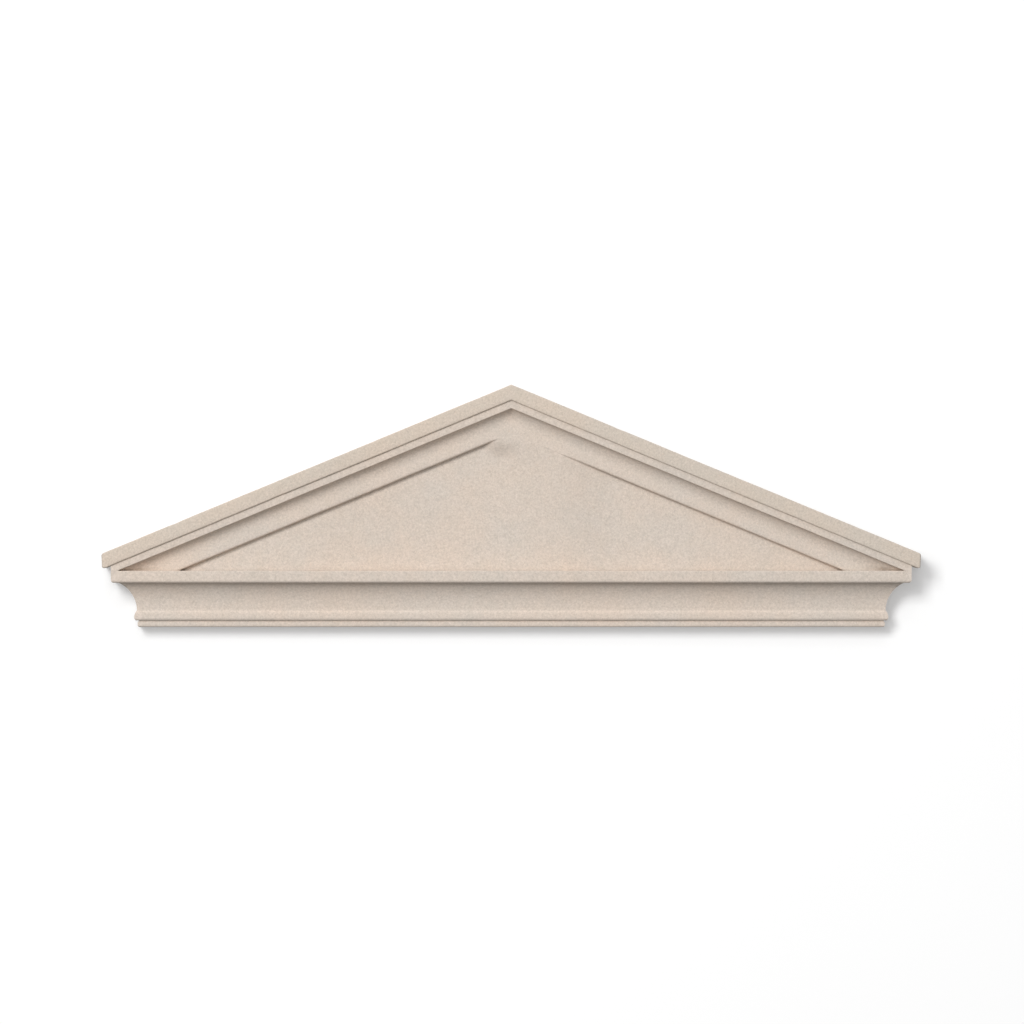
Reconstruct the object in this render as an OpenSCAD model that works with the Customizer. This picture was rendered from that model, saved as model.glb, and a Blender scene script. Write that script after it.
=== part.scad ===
// Classical pediment in one block of stone: two raking cornices over a horizontal
// cornice that returns at both ends, with a sunk tympanum between them.
// It stands on its bed with its back to a wall, and its front faces -Y.
// The origin is the middle of the bed. All sizes are in millimetres.

/* [Overall] */
// Length over the two ends of the raking band
overall_w = 1400; // [1000:10:1800]
// Slope of both rakes, in degrees
pitch = 22.44; // [16:0.01:28]
// Depth of the bed, from the back to the face of the foot fillet
bed_depth = 50; // [40:1:120]

/* [Horizontal cornice] */
// Height of the fillet at the foot
fillet_h = 10.6; // [6:0.1:20]
// Radius of the fillet's lower arris
fillet_round = 3; // [1:0.5:5]
// Radius of the quirk cut into the corner between the fillet and the bead
quirk_r = 2; // [0.8:0.1:2.5]
// How far the bead stands out from the fillet
bead_proj = 5.8; // [3:0.1:9]
// Height of the bead, up to the foot of the cove
bead_h = 17.8; // [12:0.1:30]
// How far the foot of the cove stands out from the fillet
cove_foot = 1.2; // [0:0.1:2.5]
// Height of the cove
cove_h = 47.5; // [36:0.5:80]
// How far the cove spreads outwards over its height
cove_run = 29.6; // [20:0.1:36]
// Width of the fascia's flat soffit, outside the cove
soffit_w = 12.8; // [7:0.1:25]
// Height of the fascia, from its soffit to the ledge
fascia_h = 21; // [12:0.1:25]
// Radius of the fascia's lower arris
fascia_round = 5; // [1:0.5:6]

/* [Raking cornices] */
// Height of the fascia's ends, from the soffit up to the raking band
end_h = 29.4; // [26:0.1:40]
// Thickness of the top band, square to the slope
band_t = 25.2; // [20:0.1:40]
// How far the band stands out in front of the strip under it
band_step = 6; // [2:0.1:12]
// How far the band runs out past the ends of the fascia
band_overhang = 16; // [10:0.5:30]
// How far the foot of the band's end leans back from its top
band_lean = 1.5; // [0:0.1:4]
// Radius of the upper arris at the band's ends
band_top_round = 6; // [2:0.5:8]
// Radius of the lower arris at the band's ends
band_low_round = 3.5; // [1:0.5:5]
// Width of the strip under the band, square to the slope
strip_w = 12.6; // [8:0.1:20]
// Depth of the strip's flat soffit, in front of the cove
rake_soffit = 4; // [1:0.1:8]
// Radius of the raking cove
rake_cove_r = 24; // [15:0.5:30]
// Width of the flat below the raking cove, square to the slope
rake_flat_w = 15.6; // [8:0.1:30]

/* [Tympanum] */
// How far the tympanum is sunk behind the raking flat
sink = 17; // [5:0.5:20]
// Where the sinking dies out on the left rake, left of the middle
runout_left = 20; // [5:1:60]
// How much further down the left rake it is at full depth
runout_left_len = 20; // [10:1:60]
// Where the sinking dies out on the right rake, right of the middle
runout_right = 95; // [40:1:130]
// How much further down the right rake it is at full depth
runout_right_len = 85; // [40:1:120]
// How far below the right rake's dying point the floor is still rising
runout_drop = 75; // [40:1:100]

/* [Hidden] */
stone = [0.84, 0.78, 0.72];
arc_fn = 96;     // facets on a preview of a full circle
round_steps = 8; // facets on each arc that isn't square
over = 20;       // how far a cutter runs out past what it cuts
bead_lap = 0.5;  // how far up the foot of the cove the bead's upper arc reaches
runout_reach = 2; // how many times their own length the run-out's slopes reach

// Levels of the horizontal cornice above the bed
bead_z = fillet_h + bead_proj;    // the widest line of the bead
cove_z = fillet_h + bead_h;
soffit_z = cove_z + cove_h;
ledge_z = soffit_z + fascia_h;

// Arcs that pass through the ends of the bead and of the cove. The bead's runs on
// up to just above the foot of the cove, so the two meet in one clean crease.
function arc_radius(rise, run) = (rise * rise + run * run) / (2 * run);
bead_r = arc_radius(cove_z + bead_lap - bead_z, bead_proj - cove_foot);
cove_r = arc_radius(cove_h, cove_run);

// Half lengths
fascia_proj = cove_foot + cove_run + soffit_w;
fascia_half = overall_w / 2 - band_overhang;
fillet_half = fascia_half - fascia_proj;

// Depths: the back is at +Y and every face of the front at -Y
back_y = bed_depth / 2;
fillet_y = -bed_depth / 2;
fascia_y = fillet_y - fascia_proj;
band_y = fascia_y - band_step;
rake_cove_y = fascia_y + rake_soffit;
rake_flat_y = rake_cove_y + rake_cove_r;
tympanum_y = rake_flat_y + sink;

// Heights at the middle of each line of the rakes. A width square to the slope
// is upright(width) tall, and a line falls by tan(pitch) for each unit of run.
function upright(width) = width / cos(pitch);
function fall(run) = run * tan(pitch);
band_foot_z = soffit_z + end_h + fall(fascia_half);
apex_z = band_foot_z + upright(band_t);
strip_foot_z = band_foot_z - upright(strip_w);
sink_top_z = strip_foot_z - upright(rake_cove_r + rake_flat_w);
function sink_edge(x) = [x, sink_top_z - fall(abs(x))];

// Points of the arc of radius r that rounds the corner b of an outline a-b-c,
// which turns clockwise there
function unit(v) = v / norm(v);
function heading(v) = atan2(v[1], v[0]);
function rounded(a, b, c, r) =
    let (half_angle = acos(unit(a - b) * unit(c - b)) / 2,
         centre = b + unit(unit(a - b) + unit(c - b)) * r / sin(half_angle),
         first = heading(b - a) + 90,
         turn = 180 - 2 * half_angle)
    [for (i = [0:round_steps])
        let (angle = first - turn * i / round_steps)
        centre + r * [cos(angle), sin(angle)]];

module quarter_disc(r) {
    intersection() {
        circle(r = r, $fn = arc_fn);
        square(r);
    }
}

module quarter_cut(r) {
    difference() {
        square(r);
        circle(r = r, $fn = arc_fn);
    }
}

// The foot of the cornice in section: the fillet with the bead over it
module foot_section(inner) {
    difference() {
        translate([-inner, 0]) square([inner, soffit_z]);
        translate([-fillet_round, fillet_round]) mirror([0, 1]) quarter_cut(fillet_round);
    }
    translate([0, bead_z]) mirror([0, 1]) quarter_disc(bead_proj);
    intersection() {
        translate([bead_proj - bead_r, bead_z]) circle(r = bead_r, $fn = arc_fn);
        translate([0, bead_z]) square([bead_proj, cove_z + 2 * bead_lap - bead_z]);
    }
}

// The horizontal cornice in section, with the fillet's face at x = 0 and the
// stone reaching back to x = -inner
module cornice_section(inner) {
    difference() {
        foot_section(inner);
        translate([0, fillet_h]) circle(r = quirk_r, $fn = arc_fn);
    }
    difference() {
        translate([0, cove_z]) square([cove_foot + cove_r, cove_h]);
        translate([cove_foot + cove_r, cove_z]) circle(r = cove_r, $fn = arc_fn);
    }
    difference() {
        translate([-inner, soffit_z]) square([inner + fascia_proj, fascia_h]);
        translate([fascia_proj - fascia_round, soffit_z + fascia_round])
            mirror([0, 1]) quarter_cut(fascia_round);
    }
}

// The section run along the front and met by the same section from both ends,
// which mitres the corners
module horizontal_cornice() {
    intersection() {
        translate([-fascia_half, fillet_y, 0]) rotate([90, 0, 90])
            linear_extrude(height = 2 * fascia_half)
                mirror([1, 0]) cornice_section(bed_depth);
        translate([0, back_y, 0]) rotate([90, 0, 0])
            linear_extrude(height = bed_depth + fascia_proj + over)
                for (side = [0, 1])
                    mirror([side, 0]) translate([fillet_half, 0]) cornice_section(fillet_half);
    }
}

// An outline in the plane of the front, drawn back from face_y to the back
module block(face_y) {
    translate([0, back_y, 0]) rotate([90, 0, 0])
        linear_extrude(height = back_y - face_y) children();
}

// The gable in the plane of the fascia and the strip, up to inside the band
module gable() {
    top_z = band_foot_z + upright(band_t / 2);
    end_z = top_z - fall(fascia_half);
    block(fascia_y)
        polygon([[-fascia_half, soffit_z + fascia_round], [fascia_half, soffit_z + fascia_round],
                 [fascia_half, end_z], [0, top_z], [-fascia_half, end_z]]);
}

// One side of the top band, cut off almost plumb with both arrises rounded
module band_side() {
    half = overall_w / 2;
    top = [0, apex_z];
    tip = [half, apex_z - fall(half)];
    toe = [half - band_lean, band_foot_z - fall(half - band_lean)];
    foot = [0, band_foot_z];
    polygon(concat([foot, top], rounded(top, tip, toe, band_top_round),
                   rounded(tip, toe, foot, band_low_round)));
}

module band() {
    block(band_y)
        for (side = [0, 1]) mirror([side, 0]) band_side();
}

// The space under the right rake in section: x is depth and y is square to the
// slope, down from the strip's lower edge at y = 0
module rake_section() {
    difference() {
        translate([band_y - over, -overall_w])
            square([rake_flat_y - band_y + over, overall_w]);
        translate([rake_cove_y, -rake_cove_r]) quarter_cut(rake_cove_r);
    }
}

module under_right_rake() {
    translate([0, 0, strip_foot_z]) rotate([0, pitch, 0])
        translate([-overall_w, 0, 0]) rotate([90, 0, 90])
            linear_extrude(height = 2 * overall_w) rake_section();
}

// The sunk field between the rakes and the ledge, down to the raking flat
module field() {
    intersection() {
        under_right_rake();
        mirror([1, 0, 0]) under_right_rake();
        translate([-fascia_half, band_y - over, ledge_z])
            cube([2 * fascia_half, back_y - band_y, apex_z]);
    }
}

// The deeper sinking of the tympanum inside the field
module sinking() {
    foot_x = (sink_top_z - ledge_z) / tan(pitch);
    translate([0, tympanum_y, 0]) rotate([90, 0, 0])
        linear_extrude(height = tympanum_y - rake_cove_y)
            polygon([[-foot_x, ledge_z], [foot_x, ledge_z], [0, sink_top_z]]);
}

// Stone left under the apex, where the floor of the tympanum rises until it is
// flush with the raking flat. Three slopes fan out from one low point, and run on
// past the edges of the sinking.
module runout() {
    function at(p, y) = [p[0], y, p[1]];
    low = at([runout_right / 2, sink_edge(runout_right)[1] - runout_drop], tympanum_y);
    left_toe = at(sink_edge(-runout_left - runout_left_len), tympanum_y);
    left_top = at(sink_edge(-runout_left), rake_flat_y);
    right_top = at(sink_edge(runout_right), rake_flat_y);
    right_toe = at(sink_edge(runout_right + runout_right_len), tympanum_y);
    polyhedron(
        points = concat([low], [for (p = [left_toe, left_top, right_top, right_toe])
                                    low + runout_reach * (p - low)]),
        faces = [[0, 1, 2], [0, 2, 3], [0, 3, 4], [0, 4, 1], [1, 4, 2], [2, 4, 3]]);
}

module pediment() {
    color(stone)
        difference() {
            union() {
                horizontal_cornice();
                gable();
                band();
            }
            field();
            difference() {
                sinking();
                runout();
            }
        }
}

pediment();
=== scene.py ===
import math

import bmesh
import bpy
import numpy as np
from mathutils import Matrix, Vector, noise


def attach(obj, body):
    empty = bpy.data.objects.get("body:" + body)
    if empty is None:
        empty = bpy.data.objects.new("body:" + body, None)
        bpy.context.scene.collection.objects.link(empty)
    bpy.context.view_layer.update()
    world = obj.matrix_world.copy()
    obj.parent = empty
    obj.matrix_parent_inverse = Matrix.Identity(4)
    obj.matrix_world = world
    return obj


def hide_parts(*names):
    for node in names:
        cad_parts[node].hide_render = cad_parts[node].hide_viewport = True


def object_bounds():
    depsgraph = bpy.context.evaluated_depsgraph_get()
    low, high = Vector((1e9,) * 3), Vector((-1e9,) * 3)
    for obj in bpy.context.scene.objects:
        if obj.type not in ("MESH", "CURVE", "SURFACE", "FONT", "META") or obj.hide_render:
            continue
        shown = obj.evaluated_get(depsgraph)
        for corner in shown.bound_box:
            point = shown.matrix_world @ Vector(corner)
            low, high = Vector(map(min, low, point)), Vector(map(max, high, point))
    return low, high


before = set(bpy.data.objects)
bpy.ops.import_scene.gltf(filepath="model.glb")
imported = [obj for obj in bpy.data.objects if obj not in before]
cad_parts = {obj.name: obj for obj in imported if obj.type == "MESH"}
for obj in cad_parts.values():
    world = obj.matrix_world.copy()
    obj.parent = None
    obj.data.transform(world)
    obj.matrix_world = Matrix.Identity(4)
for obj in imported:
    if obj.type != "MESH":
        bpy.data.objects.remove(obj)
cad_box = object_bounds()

# The classical pediment as worn sandstone, in front of a white wall.
# Everything is in metres, in the frame of the CAD model: the front faces -Y.
#
# The piece is made from the CAD mesh. Its arrises are rounded, it is cut into a fine mesh
# that follows the mouldings, the points on curved mouldings go back onto the true curves,
# and the weather takes a little off everywhere, so it stays inside the CAD box.

X, Y, Z = 0, 1, 2
MM = 0.001
TINY = 0.01 * MM            # two places nearer than this are the same
ACROSS = Vector((1, 0, 0))
BACKWARDS = Vector((0, 1, 0))
UP = Vector((0, 0, 1))
SQUARE = 0.99               # a normal with this much of a direction in it faces that way
EXACT = 0.9999              # and with this much, exactly that way
WELD = 0.001 * MM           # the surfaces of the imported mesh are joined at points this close
ONE_TURN = math.radians(0.5)    # faces that meet less sharply than this are one face

# Mesh spacing
COLUMN_STEP = 3.7 * MM      # along the length of the block
ROW_STEP = 3.7 * MM         # across the mouldings and up the tympanum
DEPTH_STEP = 4.5 * MM       # from front to back on soffits, tops and ends
BACK_STEP = 26 * MM         # up the back
SNAP = 0.4 * MM             # a cut this near to a corner goes through the corner
CLOSE = COLUMN_STEP / 2.6   # points of the tympanum nearer together than this are merged
LEVEL = 0.75                # a face this nearly parallel to the cuts isn't cut

# Worn arrises
BAND_ARRIS = 2.9 * MM       # the front arris all round the raking band
STEP_ARRIS = 4.6 * MM       # the arris where the tympanum is sunk
STEP_FOOT = 3.6 * MM        # the hollow at the foot of that step
ARRIS_SHARE = 0.55          # where the step is low, its arris is at most this much of it
FOOT_SHARE = 0.45           # and its hollow at most this much
# Rows of points round the step, outwards from its edge
STEP_ROWS = [MM * out for out in (-3.6, -2.3, -1.3, -0.5, 0, 0.5, 1.3, 2.6, 4.6)]
FRONT_ARRIS = 2.4 * MM      # the long arrises of the horizontal cornice
STRIP_ARRIS = 1.1 * MM      # the lower arris of the strip under the band
BACK_ARRIS = 1.5 * MM       # the arrises round the back and under the bed
ARRIS_SEGMENTS = 3
ROUNDED = 1                 # the material index that marks worn arrises while the mesh is made
CREASE = math.radians(40)   # two faces that meet more sharply than this meet at an arris
SHARP = math.radians(50)    # an edge sharper than this is shaded as an edge

# Curved mouldings
FLAT_TURN = math.radians(5)     # a surface that turns less than this is flat
SMALL_RADIUS = 4 * MM           # a curve tighter than this has wide facets and isn't chipped
SMALL_TURN = math.radians(20)   # facets there that meet less sharply than this are joined
CURVE_ROUNDS = 12               # where surfaces meet, a point goes onto each this often
CURVE_REACH = 1.5 * MM          # a point further from its curve than this stays put


# --- The CAD surfaces -------------------------------------------------------

def is_flat(normals):
    return float((normals @ normals[0]).min()) > math.cos(FLAT_TURN)


def fit_cylinder(points, normals, areas):
    """(axis direction, point on the axis, radius) of the cylinder through points."""
    spread = (normals * areas[:, None]).T @ normals
    axis = np.linalg.eigh(spread)[1][:, 0]
    across = np.linalg.svd(axis[None])[2][1:]
    flat = points @ across.T
    system = np.c_[2 * flat, np.ones(len(flat))]
    centre_x, centre_y, rest = np.linalg.lstsq(system, (flat ** 2).sum(1), rcond=None)[0]
    centre = centre_x * across[0] + centre_y * across[1]
    return axis, centre, math.sqrt(rest + centre_x ** 2 + centre_y ** 2)


def describe(island):
    """The plane or cylinder that the faces of one CAD surface lie on, and their extent."""
    sound = [f for f in island if f.calc_area() > TINY ** 2]
    normals = np.array([f.normal for f in sound])
    areas = np.array([f.calc_area() for f in sound])
    points = np.array([v.co for f in island for v in f.verts])
    surface = {"flat": is_flat(normals), "area": float(areas.sum())}
    surface["low"] = points.min(0)
    surface["high"] = points.max(0)
    if surface["flat"]:
        normal = (normals * areas[:, None]).sum(0)
        surface["normal"] = normal / np.linalg.norm(normal)
        surface["offset"] = float((points @ surface["normal"]).mean())
    else:
        fitted = fit_cylinder(points, normals, areas)
        surface["axis"], surface["centre"], surface["radius"] = fitted
    return surface


def cad_surfaces(bm, layer):
    """Numbers the faces of each CAD surface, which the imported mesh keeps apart."""
    surfaces = []
    for seed in bm.faces:
        if seed[layer]:
            continue
        number = len(surfaces) + 1
        seed[layer] = number
        island = [seed]
        for face in island:
            for edge in face.edges:
                for other in edge.link_faces:
                    if not other[layer]:
                        other[layer] = number
                        island.append(other)
        surfaces.append(describe(island))
    return surfaces


def onto(surface, point):
    """The point of a CAD surface nearest to point."""
    if surface["flat"]:
        return point - (point @ surface["normal"] - surface["offset"]) * surface["normal"]
    along = (point @ surface["axis"]) * surface["axis"]
    away = point - along - surface["centre"]
    return along + surface["centre"] + away * surface["radius"] / np.linalg.norm(away)


def surface_of(face, layer):
    return surfaces[face[layer] - 1]


def is_small(surface):
    return surface.get("radius", math.inf) < SMALL_RADIUS


def largest(choice):
    return max(choice, key=lambda surface: surface["area"])


block = bmesh.new()
block.from_mesh(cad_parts["pediment"].data)
numbers = block.faces.layers.int.new("surface")
block.normal_update()
surfaces = cad_surfaces(block, numbers)
bmesh.ops.remove_doubles(block, verts=block.verts, dist=WELD)
bmesh.ops.dissolve_limit(block, angle_limit=ONE_TURN, verts=block.verts, edges=block.edges)
# The facets inside a flat surface, and the narrow ones round a small curve, are joined
spare = [e for e in block.edges if len({f[numbers] for f in e.link_faces}) == 1
         and (surface_of(e.link_faces[0], numbers)["flat"]
              or is_small(surface_of(e.link_faces[0], numbers)))]
bmesh.ops.dissolve_limit(block, angle_limit=SMALL_TURN, verts=[], edges=spare)

# Where things are, read from the CAD surfaces. The top of the right rake looks up and right.
flats = [s for s in surfaces if s["flat"]]
rake_top = largest(s for s in flats if s["normal"][X] > 0.1 and s["normal"][Z] > 0.5)
PITCH = math.atan2(rake_top["normal"][X], rake_top["normal"][Z])
LEDGE_Z = largest(s for s in flats if s["normal"][Z] > SQUARE)["offset"]
BACK_Y = max(s["offset"] for s in flats if s["normal"][Y] > SQUARE)
BAND_Y = cad_box[0][Y]
BED_FRONT_Y = min(s["low"][Y] for s in flats if s["normal"][Z] < -SQUARE and s["low"][Z] < TINY)
fronts = [s for s in flats if s["normal"][Y] < -EXACT and s["low"][Z] > LEDGE_Z - TINY]
RAKE_FLAT_Y, FLOOR_Y = sorted({round(-s["offset"], 5) for s in fronts})[-2:]
# The walls of the step round the tympanum, which look down, and the parts of its floor
steps = [s for s in flats if s["normal"][Z] < -0.5
         and abs(s["low"][Y] - RAKE_FLAT_Y) < TINY and abs(s["high"][Y] - FLOOR_Y) < TINY]
SINK_TOP_Z = -steps[0]["offset"] / math.cos(PITCH)
LEFT_END_X = max(s["high"][X] for s in steps if s["high"][X] < 0)
LEFT_END = Vector((LEFT_END_X, 0, SINK_TOP_Z - abs(LEFT_END_X) * math.tan(PITCH)))
FLOOR_PARTS = {n for n, s in enumerate(surfaces, 1) if s["flat"] and s["normal"][Y] < -0.6
               and s["high"][Y] > FLOOR_Y - TINY and s["low"][Y] > RAKE_FLAT_Y - TINY}


# --- Worn arrises -----------------------------------------------------------

def arris_width(edge, layer):
    """How wide the arris at edge is worn round, or nothing if it isn't a long arris."""
    if len(edge.link_faces) != 2 or edge.calc_face_angle_signed(0) < CREASE:
        return 0
    touched = [surface_of(f, layer) for f in edge.link_faces]
    if touched[0] is touched[1] or any(is_small(s) for s in touched):
        return 0
    along = edge.verts[1].co - edge.verts[0].co
    middle = (edge.verts[0].co + edge.verts[1].co) / 2
    if middle.y > BACK_Y - TINY or (middle.z < TINY and middle.y > BED_FRONT_Y + TINY):
        return BACK_ARRIS
    if abs(middle.y - RAKE_FLAT_Y) < TINY:
        return 0
    if abs(middle.y - BAND_Y) < TINY:
        return BAND_ARRIS
    if abs(along.y) > TINY or abs(along.x) < TINY:
        return 0
    return STRIP_ARRIS if abs(along.z) > TINY else FRONT_ARRIS


def round_arrises(bm):
    layer = bm.faces.layers.int["surface"]
    widest = max(BAND_ARRIS, FRONT_ARRIS, STRIP_ARRIS, BACK_ARRIS)
    weight = bm.edges.layers.float.new("bevel_weight_edge")
    for edge in bm.edges:
        edge[weight] = arris_width(edge, layer) / widest
    mesh = bpy.data.meshes.new("rounding")
    bm.to_mesh(mesh)
    mesh.materials.append(None)
    mesh.materials.append(None)
    rounding = bpy.data.objects.new("rounding", mesh)
    bpy.context.scene.collection.objects.link(rounding)
    bevel = rounding.modifiers.new("arrises", "BEVEL")
    bevel.limit_method = "WEIGHT"
    bevel.width = widest
    bevel.segments = ARRIS_SEGMENTS
    bevel.use_clamp_overlap = False
    bevel.material = ROUNDED
    rounded = rounding.evaluated_get(bpy.context.evaluated_depsgraph_get()).to_mesh()
    bm.clear()
    bm.from_mesh(rounded)
    bpy.data.objects.remove(rounding)
    bpy.data.meshes.remove(mesh)


# --- Slicing ----------------------------------------------------------------

def span(face, direction):
    heights = [v.co.dot(direction) for v in face.verts]
    return min(heights), max(heights)


def cut_heights(faces, direction, step, extra=()):
    """Where to cut: evenly between the straight lines square to direction already there."""
    found = set(extra)
    for face in faces:
        for edge in face.edges:
            low, high = sorted(v.co.dot(direction) for v in edge.verts)
            if high - low < TINY and edge.calc_length() > step / 4:
                found.add((low + high) / 2)
    spans = [span(f, direction) for f in faces]
    found |= {min(low for low, high in spans), max(high for low, high in spans)}
    lines = []
    for height in sorted(found):
        if not lines or height - lines[-1] > SNAP:
            lines.append(height)
    cuts = list(extra)
    for low, high in zip(lines, lines[1:]):
        parts = max(1, round((high - low) / step))
        cuts += [low + (high - low) * i / parts for i in range(1, parts)]
    return sorted(cuts)


def slice_faces(bm, faces, direction, cuts):
    """Cuts the faces by the planes square to direction at each of cuts, which rise."""
    waiting = sorted(((span(f, direction), f) for f in faces), key=lambda item: -item[0][0])
    active = []
    for cut in cuts:
        while waiting and waiting[-1][0][0] < cut - SNAP:
            active.append(waiting.pop())
        crossing = [f for (low, high), f in active if high > cut + SNAP]
        active = []
        if not crossing:
            continue
        geometry = list(dict.fromkeys([e for f in crossing for e in f.edges]
                                      + [v for f in crossing for v in f.verts]))
        done = bmesh.ops.bisect_plane(bm, geom=geometry + crossing, dist=SNAP / 2,
                                      plane_co=direction * cut, plane_no=direction)
        for item in done["geom"]:
            if isinstance(item, bmesh.types.BMFace):
                reach = span(item, direction)
                if reach[1] > cut + SNAP:
                    active.append((reach, item))


def slice_family(bm, direction, step, wanted, extra=()):
    """Cuts the wanted faces square to direction, into strips about one step wide."""
    bm.normal_update()
    faces = [f for f in bm.faces if abs(f.normal.dot(direction)) < LEVEL and wanted(f)]
    slice_faces(bm, faces, direction, cut_heights(faces, direction, step, extra))


def above_ledge(face):
    return min(v.co.z for v in face.verts) > LEDGE_Z - TINY


def on_back(face):
    return face.normal.y > SQUARE


def on_rake(face, side):
    return above_ledge(face) and not on_back(face) and side * face.calc_center_median().x > 0


def slice_block(bm, layer):
    """A fine mesh that follows the mouldings, ready for relief."""
    slice_family(bm, ACROSS, COLUMN_STEP, lambda f: True, extra=[0.0])
    slice_family(bm, UP, ROW_STEP, lambda f: not above_ledge(f) and not on_back(f))
    for side in (-1, 1):
        slope = Vector((side * math.sin(PITCH), 0, math.cos(PITCH)))
        sink_edge = SINK_TOP_Z * math.cos(PITCH)
        slice_family(bm, slope, ROW_STEP, lambda f: on_rake(f, side),
                     extra=[sink_edge + out for out in STEP_ROWS])
    slice_family(bm, UP, BACK_STEP, on_back)
    slice_family(bm, BACKWARDS, DEPTH_STEP, lambda f: True)
    creases = [e for e in bm.edges if len({f[layer] for f in e.link_faces}) == 2
               and all(f[layer] in FLOOR_PARTS for f in e.link_faces)]
    bmesh.ops.dissolve_edges(bm, edges=creases, use_verts=True)
    bm.normal_update()


# --- True curves ------------------------------------------------------------

def follow_curves(bm, layer):
    """Moves each point of a curved moulding from its facet onto the curve itself."""
    for vertex in bm.verts:
        found = {f[layer] for f in vertex.link_faces if f.material_index != ROUNDED}
        touched = [surfaces[n - 1] for n in found]
        if all(s["flat"] for s in touched):
            continue
        point = np.array(vertex.co)
        for _ in range(CURVE_ROUNDS if len(touched) > 1 else 1):
            for surface in touched:
                point = onto(surface, point)
        if np.linalg.norm(point - np.array(vertex.co)) < CURVE_REACH:
            vertex.co = Vector(point)


# --- The run-out of the tympanum --------------------------------------------

# The floor sinks to its full depth over this turn round the left end of the step,
FAN_TURN = math.radians(95)
# starting from this angle, which is 0 along the right rake and grows downwards
FAN_START = math.radians(-20)
LEFT_TAPER = 36 * MM        # the step on the left dies out over this length
RIGHT_START = 75 * MM       # right of the middle, where the step on the right begins
RIGHT_TAPER = 105 * MM      # and how much further along it is at its full depth


def ease(share):
    share = min(1, max(0, share))
    return share * share * (3 - 2 * share)


def sunk_share(x, z):
    """How much of its full depth the floor of the tympanum has at x, z."""
    away = Vector((x - LEFT_END.x, LEFT_END.z - z))
    turn = math.atan2(away.y, away.x) - PITCH
    fan = ease((turn - FAN_START) / FAN_TURN) * ease(away.length / LEFT_TAPER)
    return 1 - (1 - fan) * (1 - ease((x - RIGHT_START) / RIGHT_TAPER))


def inside_step(x, z):
    """Distance inside the edge of the sinking, square to the slope."""
    return (SINK_TOP_Z - abs(x) * math.tan(PITCH) - z) * math.cos(PITCH)


def sunk_y(x, y, z):
    """Where the step and the sunk floor put a point of the tympanum."""
    inside = inside_step(x, z)
    depth = (FLOOR_Y - RAKE_FLAT_Y) * sunk_share(x, z)
    arris = min(STEP_ARRIS, ARRIS_SHARE * depth)
    foot = min(STEP_FOOT, FOOT_SHARE * depth)
    if inside > foot:
        return RAKE_FLAT_Y + depth
    if inside > TINY:
        return RAKE_FLAT_Y + depth - foot + math.sqrt(foot ** 2 - (foot - inside) ** 2)
    if inside > -TINY:
        down = (y - RAKE_FLAT_Y) / (FLOOR_Y - RAKE_FLAT_Y)
        return RAKE_FLAT_Y + arris + down * (depth - arris - foot)
    if inside > -arris:
        return RAKE_FLAT_Y + arris - math.sqrt(arris ** 2 - (inside + arris) ** 2)
    return y


def sink_tympanum(bm):
    """Shapes the step and the floor, and leaves the ledge and the rakes alone."""
    bm.normal_update()
    for vertex in bm.verts:
        x, y, z = vertex.co
        if inside_step(x, z) < -STEP_ARRIS or z < LEDGE_Z - TINY:
            continue
        if y < RAKE_FLAT_Y - TINY or y > FLOOR_Y + TINY:
            continue
        if not all(f.normal.z > 0.9 for f in vertex.link_faces):
            vertex.co.y = sunk_y(x, y, z)


def merge_close(bm, layer):
    """Merges points that lie too close together to shade well."""
    inner = [v for v in bm.verts if all(f[layer] in FLOOR_PARTS for f in v.link_faces)
             and inside_step(v.co.x, v.co.z) > STEP_FOOT + COLUMN_STEP]
    bmesh.ops.remove_doubles(bm, verts=inner, dist=CLOSE)
    bmesh.ops.remove_doubles(bm, verts=bm.verts, dist=SNAP)


# --- Relief -----------------------------------------------------------------

WAVES = 0.35 * MM           # depth of the broad unevenness of the dressed faces
WAVES_PER_M = 16
SAND = 0.22 * MM            # depth of the sandy relief on them
SAND_PER_M = 110
CHIPS = 1.1 * MM            # depth of the worst chips in the arrises
CHIPS_PER_M = 42
CHIP_START = 0.62           # an arris is chipped where the noise is above this
PLAIN_SHARE = 0.5           # the back and the bed are only this rough


def hollow(place, per_m, shift=0.0):
    """Noise from 0 to 1."""
    shifted = place * per_m + Vector((shift, shift, shift))
    return min(1, max(0, 0.5 + 0.6 * noise.noise(shifted)))


def worn_depth(vertex, layer):
    """How far the weather has taken the surface back at vertex."""
    place = vertex.co
    depth = WAVES * hollow(place, WAVES_PER_M) + SAND * hollow(place, SAND_PER_M, shift=7.3)
    worn = any(f.material_index == ROUNDED for f in vertex.link_faces)
    fine = any(is_small(surface_of(f, layer)) for f in vertex.link_faces)
    if not fine and (worn or any(e.calc_face_angle_signed(0) > CREASE for e in vertex.link_edges)):
        chip = max(0, hollow(place, CHIPS_PER_M, shift=3.1) - CHIP_START) / (1 - CHIP_START)
        depth += CHIPS * chip * hollow(place, CHIPS_PER_M / 4, shift=5.7)
    if vertex.normal.y > 0.5 or place.z < TINY:
        depth *= PLAIN_SHARE
    return depth


def wear(bm, layer):
    bm.normal_update()
    depths = [(v, v.normal.copy(), worn_depth(v, layer)) for v in bm.verts]
    for vertex, normal, depth in depths:
        place = vertex.co - normal * depth
        vertex.co = [min(high, max(low, p)) for p, low, high in zip(place, *cad_box)]


# --- Materials --------------------------------------------------------------

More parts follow.
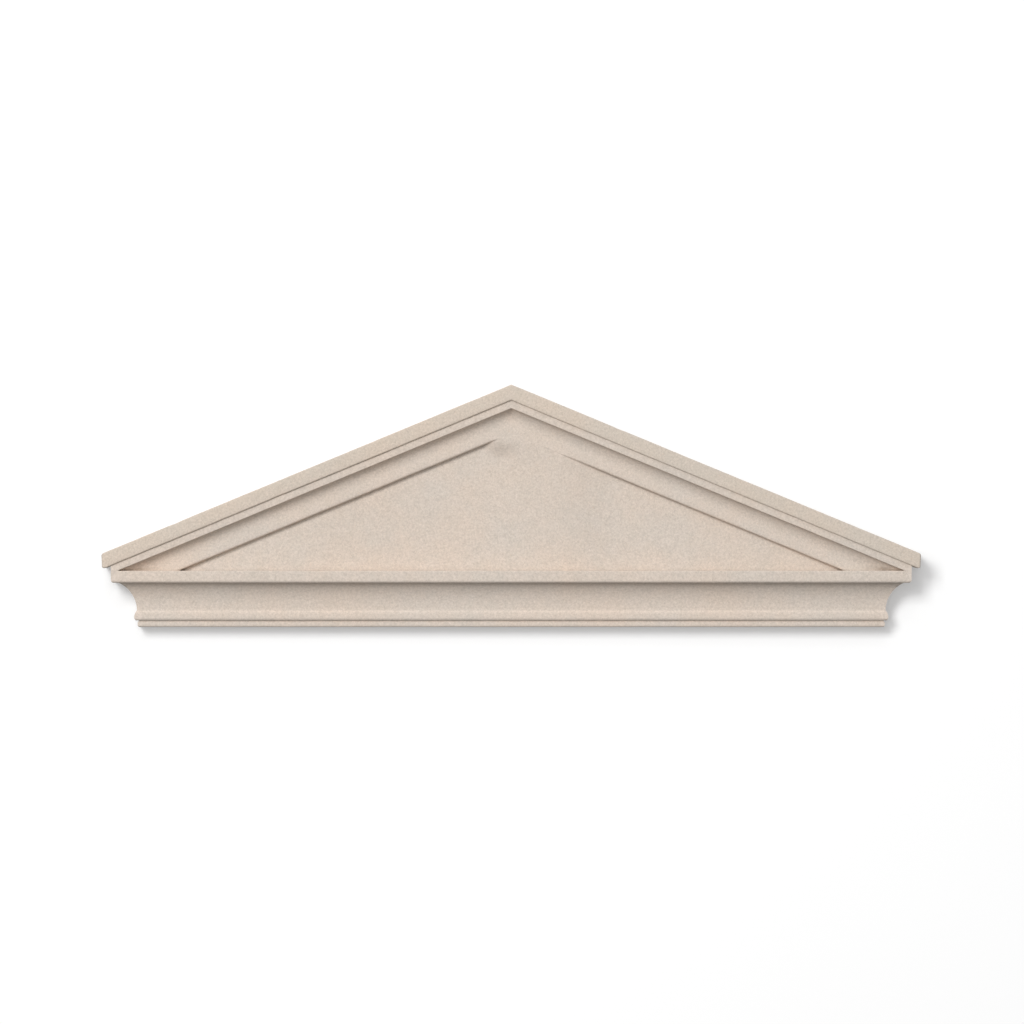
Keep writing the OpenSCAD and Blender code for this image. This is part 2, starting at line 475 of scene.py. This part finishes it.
STONE_COOL = (0.588, 0.519, 0.458)
STONE_WARM = (0.618, 0.525, 0.450)
PATCH_PER_M = 9             # patches of these two
BLOTCH_TONE = (0.965, 0.975, 0.97)
BLOTCH_PER_M = 75
STAIN_TONE = (0.975, 0.968, 0.96)
STAIN_PER_M = 3.5
BAND_TONE = (0.967, 0.962, 0.940)   # the band has weathered a little darker than the rest
BAND_FADE = (3 * MM, 6 * MM)        # which fades out this far behind its face
WEAR_AND_HIGHLIGHT_TONE = (1.07, 1.07, 1.08)      # arrises are paler, partly from wear and partly a painted highlight
PAINTED_TOP_LIGHT_TONE = (1.3, 1.3, 1.31)      # faces that look up are painted paler, a painted light on the tops
PAINTED_CREASE_SHADE_TONE = (0.66, 0.62, 0.58)      # and concave corners that face down or out are darker, a painted shade
DARK_GRAIN = (0.36, 0.33, 0.29)
RUST_GRAIN = (0.62, 0.44, 0.29)
GRAIN_PER_M = 520
SAND_GRAIN_PER_M = 270
SPECK_PER_M = 760
COARSE_PER_M = 170          # only in the bump
GRAIN_LIGHT = (0.84, 1.16)  # from the darkest grain to the palest
BUMP_STRENGTH = 0.6
BUMP_DEPTH = 0.6 * MM
STONE_ROUGHNESS = (0.84, 0.96)
STONE_SPECULAR = 0.2
OTHER_PLACE = (3.7, 1.9, 5.3)       # noise read from here doesn't match noise read in place


class Tree:
    """Adds nodes to a new material and links them."""

    def __init__(self, name):
        self.material = bpy.data.materials.new(name)
        self.material.use_nodes = True
        self.nodes = self.material.node_tree.nodes
        self.links = self.material.node_tree.links
        self.nodes.clear()

    def add(self, kind, inputs=(), **settings):
        node = self.nodes.new(kind)
        for name, value in settings.items():
            setattr(node, name, value)
        for key, value in dict(inputs).items():
            if isinstance(value, bpy.types.NodeSocket):
                self.links.new(value, node.inputs[key])
            else:
                node.inputs[key].default_value = value
        return node

    def math(self, first, second, operation):
        return self.add("ShaderNodeMath", {0: first, 1: second}, operation=operation).outputs[0]

    def noise(self, place, per_m, detail=3.0, rough=0.6):
        inputs = {"Vector": place, "Scale": per_m, "Detail": detail, "Roughness": rough}
        return self.add("ShaderNodeTexNoise", inputs).outputs[0]

    def spread(self, value, low, high, to_low=0.0, to_high=1.0):
        inputs = {"Value": value, "From Min": low, "From Max": high, "To Min": to_low, "To Max": to_high}
        return self.add("ShaderNodeMapRange", inputs).outputs[0]

    def mix(self, share, first, second, blend="MIX"):
        def colour(value):
            return value if isinstance(value, bpy.types.NodeSocket) else (*value, 1)
        inputs = {0: share, 6: colour(first), 7: colour(second)}
        return self.add("ShaderNodeMix", inputs, data_type="RGBA", blend_type=blend).outputs[2]

    def tint(self, share, colour, tone):
        """Colour, multiplied by tone where share is 1."""
        return self.mix(share, colour, self.mix(1.0, colour, tone, "MULTIPLY"))

    def finish(self, shader):
        self.add("ShaderNodeOutputMaterial", {"Surface": shader})
        return self.material


def mottled(t, place, other, blotches):
    """The two colours of the stone in patches, with faint blotches and stains."""
    patches = t.noise(place, PATCH_PER_M, 5, 0.6)
    colour = t.mix(t.spread(patches, 0.36, 0.64), STONE_COOL, STONE_WARM)
    colour = t.tint(t.spread(blotches, 0.35, 0.65), colour, BLOTCH_TONE)
    stains = t.noise(other, STAIN_PER_M, 4, 0.6)
    colour = t.tint(t.spread(stains, 0.45, 0.75), colour, STAIN_TONE)
    depth = t.add("ShaderNodeSeparateXYZ", {0: place}).outputs[Y]
    band = t.spread(depth, BAND_Y + BAND_FADE[0], BAND_Y + BAND_FADE[1], 1.0, 0.0)
    return t.tint(band, colour, BAND_TONE)


def grained(t, colour, place, other, grains):
    """Paler and darker grains of sand, with a few dark and rusty ones."""
    light = t.spread(grains, 0.7, 1.3, *GRAIN_LIGHT)
    lit = t.add("ShaderNodeCombineXYZ", {0: light, 1: light, 2: light}).outputs[0]
    colour = t.mix(1.0, colour, lit, "MULTIPLY")
    specks = t.noise(other, SPECK_PER_M, 2)
    colour = t.mix(t.spread(specks, 0.64, 0.76, 0.0, 0.45), colour, DARK_GRAIN)
    rust = t.noise(place, SPECK_PER_M / 2, 2)
    return t.mix(t.spread(rust, 0.66, 0.76, 0.0, 0.4), colour, RUST_GRAIN)


def worn_and_painted_light(t, colour):
    """Pale on arrises, partly wear and partly a painted highlight; painted light on faces that look up;
    painted shade in corners that face down or out.
    """
    shape = t.add("ShaderNodeNewGeometry").outputs
    facing_up = t.add("ShaderNodeSeparateXYZ", {0: shape["Normal"]}).outputs[Z]
    # Paler convex arrises: partly wear, partly a painted highlight along the edges
    colour = t.tint(t.spread(shape["Pointiness"], 0.52, 0.57), colour, WEAR_AND_HIGHLIGHT_TONE)
    # Painted light: faces that look up are made paler
    colour = t.tint(t.spread(facing_up, 0.3, 0.9), colour, PAINTED_TOP_LIGHT_TONE)
    # Painted shade: concave creases that face down or out are darkened
    corner = t.spread(shape["Pointiness"], 0.42, 0.49, 1.0, 0.0)
    facing_down = t.spread(facing_up, -0.5, 0.15, 1.0, 0.0)
    return t.tint(t.math(corner, facing_down, "MULTIPLY"), colour, PAINTED_CREASE_SHADE_TONE)


def sandstone():
    t = Tree("sandstone")
    place = t.add("ShaderNodeTexCoord").outputs["Object"]
    other = t.add("ShaderNodeVectorMath", {0: place, 1: OTHER_PLACE}, operation="ADD").outputs[0]
    blotches = t.noise(other, BLOTCH_PER_M, 4, 0.65)
    fine = t.noise(place, GRAIN_PER_M, 4, 0.7)
    sand = t.noise(other, SAND_GRAIN_PER_M, 3, 0.6)
    grains = t.math(fine, sand, "ADD")
    colour = mottled(t, place, other, blotches)
    colour = grained(t, colour, place, other, grains)
    colour = worn_and_painted_light(t, colour)
    height = t.math(grains, t.noise(place, COARSE_PER_M, 4, 0.65), "ADD")
    bump = t.add("ShaderNodeBump", {
        "Strength": BUMP_STRENGTH, "Distance": BUMP_DEPTH, "Height": height}).outputs[0]
    rough = t.spread(blotches, 0.3, 0.7, *STONE_ROUGHNESS)
    return t.finish(t.add("ShaderNodeBsdfPrincipled", {
        "Base Color": colour, "Roughness": rough, "Normal": bump,
        "Specular IOR Level": STONE_SPECULAR}).outputs[0])


WALL_WHITE = (0.71, 0.71, 0.71, 1)
WALL_GLOW = 0.25
FLOOR_PALE = (0.86, 0.85, 0.83, 1)


def wall_paint():
    """White, with a little light of its own, and clear from behind so that the back shows."""
    t = Tree("wall_paint")
    paint = t.add("ShaderNodeBsdfPrincipled", {
        "Base Color": WALL_WHITE, "Roughness": 1.0, "Specular IOR Level": 0.0,
        "Emission Color": (1, 1, 1, 1), "Emission Strength": WALL_GLOW}).outputs[0]
    clear = t.add("ShaderNodeBsdfTransparent").outputs[0]
    behind = t.add("ShaderNodeNewGeometry").outputs["Backfacing"]
    return t.finish(t.add("ShaderNodeMixShader", {0: behind, 1: paint, 2: clear}).outputs[0])


def floor_paint():
    t = Tree("floor_paint")
    return t.finish(t.add("ShaderNodeBsdfPrincipled", {
        "Base Color": FLOOR_PALE, "Roughness": 0.9, "Specular IOR Level": 0.2}).outputs[0])


# --- The piece --------------------------------------------------------------

def shade(bm):
    """Smooth all over, but for sharp edges and the edges round the back."""
    bm.normal_update()
    for edge in bm.edges:
        backs = sum(on_back(f) for f in edge.link_faces)
        edge.smooth = backs != 1 and edge.calc_face_angle(0) < SHARP
    for face in bm.faces:
        face.material_index = 0
        face.smooth = True


def make_stone(bm):
    slice_faces(bm, list(bm.faces), UP, [LEDGE_Z])
    round_arrises(bm)
    layer = bm.faces.layers.int["surface"]
    slice_block(bm, layer)
    follow_curves(bm, layer)
    sink_tympanum(bm)
    merge_close(bm, layer)
    wear(bm, layer)
    shade(bm)
    bmesh.ops.triangulate(bm, faces=bm.faces)
    mesh = bpy.data.meshes.new("pediment_stone")
    bm.to_mesh(mesh)
    mesh.materials.append(sandstone())
    made = bpy.data.objects.new("pediment_stone", mesh)
    bpy.context.scene.collection.objects.link(made)
    return made


# --- The stage --------------------------------------------------------------

STAGE_HALF = 4.0            # half the width of the wall and the floor
STAGE_FOOT_Z = -0.8
WALL_TOP_Z = 4.0
WALL_GAP = 0.2 * MM         # behind the back of the block
FLOOR_FRONT_Y = -6.0
FLOOR_BACK_Y = 4.0


def sheet(name, low, high, material):
    """A rectangle from its lower left corner to its upper right one, level from side to side."""
    corners = [low, (high[X], low[Y], low[Z]), high, (low[X], high[Y], high[Z])]
    mesh = bpy.data.meshes.new(name)
    mesh.from_pydata(corners, [], [tuple(range(len(corners)))])
    mesh.materials.append(material)
    made = bpy.data.objects.new(name, mesh)
    bpy.context.scene.collection.objects.link(made)
    return made


def add_stage():
    wall_y = BACK_Y + WALL_GAP
    wall = sheet("wall", (-STAGE_HALF, wall_y, STAGE_FOOT_Z), (STAGE_HALF, wall_y, WALL_TOP_Z),
                 wall_paint())
    wall.visible_shadow = False
    wall.visible_diffuse = False
    wall.visible_glossy = False
    ground = sheet("floor", (-STAGE_HALF, FLOOR_FRONT_Y, STAGE_FOOT_Z),
                   (STAGE_HALF, FLOOR_BACK_Y, STAGE_FOOT_Z), floor_paint())
    ground.visible_diffuse = False


# --- The light --------------------------------------------------------------

LIGHT_AIM = Vector((0, 0, 0.2))
LIGHT_DISTANCE = 10.0
LIGHT_SIZE = 2.5
# How far to the left and up each light stands for each metre in front, and its watts
FRONT_LIGHTS = ((0.27, 0.3, 560), (0, 0.05, 124), (0, 0.6, 88), (0.3, 0.15, 128))
BACK_LIGHT = (0.3, 0.4, 520)
ROOM_LIGHT = 0.296


def add_light(name, left, up, watts, ahead=-1):
    towards = Vector((-left, ahead, up)).normalized()
    light = bpy.data.lights.new(name, "AREA")
    light.size = LIGHT_SIZE
    light.energy = watts
    made = bpy.data.objects.new(name, light)
    made.location = LIGHT_AIM + towards * LIGHT_DISTANCE
    made.rotation_euler = (-towards).to_track_quat("-Z", "Y").to_euler()
    bpy.context.scene.collection.objects.link(made)


def add_lights():
    for number, (left, up, watts) in enumerate(FRONT_LIGHTS):
        add_light(f"front_light_{number}", left, up, watts)
    add_light("back_light", *BACK_LIGHT, ahead=1)
    world = bpy.data.worlds.new("room")
    world.use_nodes = True
    background = world.node_tree.nodes["Background"].inputs
    background["Color"].default_value = (1, 1, 1, 1)
    background["Strength"].default_value = ROOM_LIGHT
    bpy.context.scene.world = world


# --- The camera -------------------------------------------------------------

CAMERA_AWAY = 12.0          # from the face of the raking band
CAMERA_X = 1.3 * MM
CAMERA_Z = 197.1 * MM
VIEW_WIDTH = 1.7476         # how much of the face of the band the picture takes in
SENSOR = 36.0


def add_camera():
    camera = bpy.data.cameras.new("camera")
    camera.sensor_width = SENSOR
    camera.lens = SENSOR * CAMERA_AWAY / VIEW_WIDTH
    made = bpy.data.objects.new("camera", camera)
    made.location = (CAMERA_X, BAND_Y - CAMERA_AWAY, CAMERA_Z)
    made.rotation_euler = (math.pi / 2, 0, 0)
    bpy.context.scene.collection.objects.link(made)
    bpy.context.scene.camera = made


piece = make_stone(block)
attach(piece, "root")
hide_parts("pediment")
add_stage()
add_lights()
add_camera()
bpy.context.scene.view_settings.view_transform = "Standard"
